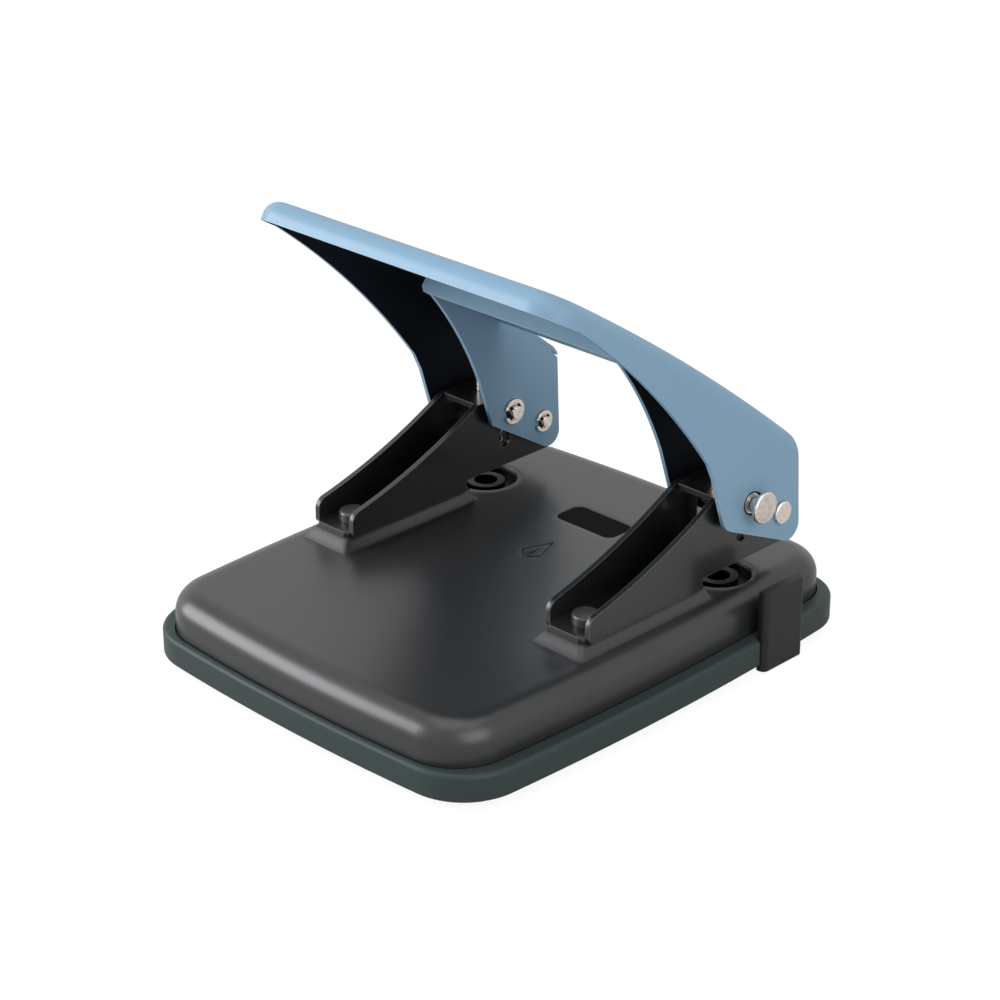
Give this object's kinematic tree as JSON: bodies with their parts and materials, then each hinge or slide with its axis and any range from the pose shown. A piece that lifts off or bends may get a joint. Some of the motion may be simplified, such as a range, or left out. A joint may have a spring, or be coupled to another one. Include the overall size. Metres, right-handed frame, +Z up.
{
  "type": "two-hole punch",
  "caption": "Desk two-hole punch with a blue pressed lever, charcoal base, black brackets, chip tray and paper guide.",
  "frame": {"origin": "on the desk, under the middle of the base", "axes": "+X to the right along the paper edge, +Y to the paper side, +Z up"},
  "size_m": [0.118, 0.139, 0.1099],
  "materials": {
    "blue_paint": "satin",
    "charcoal_paint": "satin",
    "black_satin": "satin",
    "tray_plastic": "satin",
    "black_plastic": "matt",
    "label_black": "gloss",
    "foot_rubber": "matt",
    "nickel": "polished",
    "zinc_steel": "brushed",
    "dark_steel": "satin",
    "spring_steel": "satin"
  },
  "bodies": {
    "frame": {"base_cover": "charcoal_paint", "label_plate": "label_black", "front_rivets": "black_satin", "rear_rivets": "black_satin", "bracket_left": "black_satin", "bracket_right": "black_satin", "die_left": "dark_steel", "die_right": "dark_steel", "return_spring_left": "spring_steel", "return_spring_right": "spring_steel"},
    "chip_tray": {"chip_tray": "tray_plastic", "rubber_feet": "foot_rubber"},
    "paper_guide": {"guide_bar": "zinc_steel", "guide_end": "black_plastic"},
    "lever": {"lever_shell": "blue_paint", "lever_yoke": "blue_paint", "pivot_washers": "nickel", "pivot_pin_left": "nickel", "pivot_pin_right": "nickel", "pivot_clip_left": "nickel", "pivot_clip_right": "nickel"},
    "punch_left": {"punch_left": "nickel", "spring_collar_left": "nickel", "drive_pin_left": "nickel", "drive_clip_left": "nickel"},
    "punch_right": {"punch_right": "nickel", "spring_collar_right": "nickel"},
    "lock_pin": {"lock_pin_right": "nickel", "drive_clip_right": "nickel"}
  },
  "joints": [
    {"name": "lever_swing", "type": "hinge", "parent": "frame", "child": "lever", "pos_m": [0, 0.0465, 0.0351], "axis": [1, 0, 0], "range_deg": [0, 43], "stiffness_Nm_per_rad": 0.6, "springref_deg": -28.65},
    {"name": "punch_left_travel", "type": "slide", "parent": "frame", "child": "punch_left", "axis": [0, 0, -1], "range_m": [0, 0.0089], "deforming": ["return_spring_left"]},
    {"name": "punch_right_travel", "type": "slide", "parent": "frame", "child": "punch_right", "axis": [0, 0, -1], "range_m": [0, 0.0089], "deforming": ["return_spring_right"]},
    {"name": "lock_press", "type": "slide", "parent": "punch_right", "child": "lock_pin", "axis": [-1, 0, 0], "range_m": [0, 0.0019]},
    {"name": "tray_pull", "type": "slide", "parent": "frame", "child": "chip_tray", "axis": [0, 0, -1], "range_m": [0, 0.012]},
    {"name": "guide_slide", "type": "slide", "parent": "chip_tray", "child": "paper_guide", "axis": [1, 0, 0], "range_m": [0, 0.0915]}
  ],
  "couplings": [
    {"joint": "punch_left_travel", "follows": "lever_swing", "m_per_rad": 0.01175},
    {"joint": "punch_right_travel", "follows": "lever_swing", "m_per_rad": 0.01175}
  ]
}
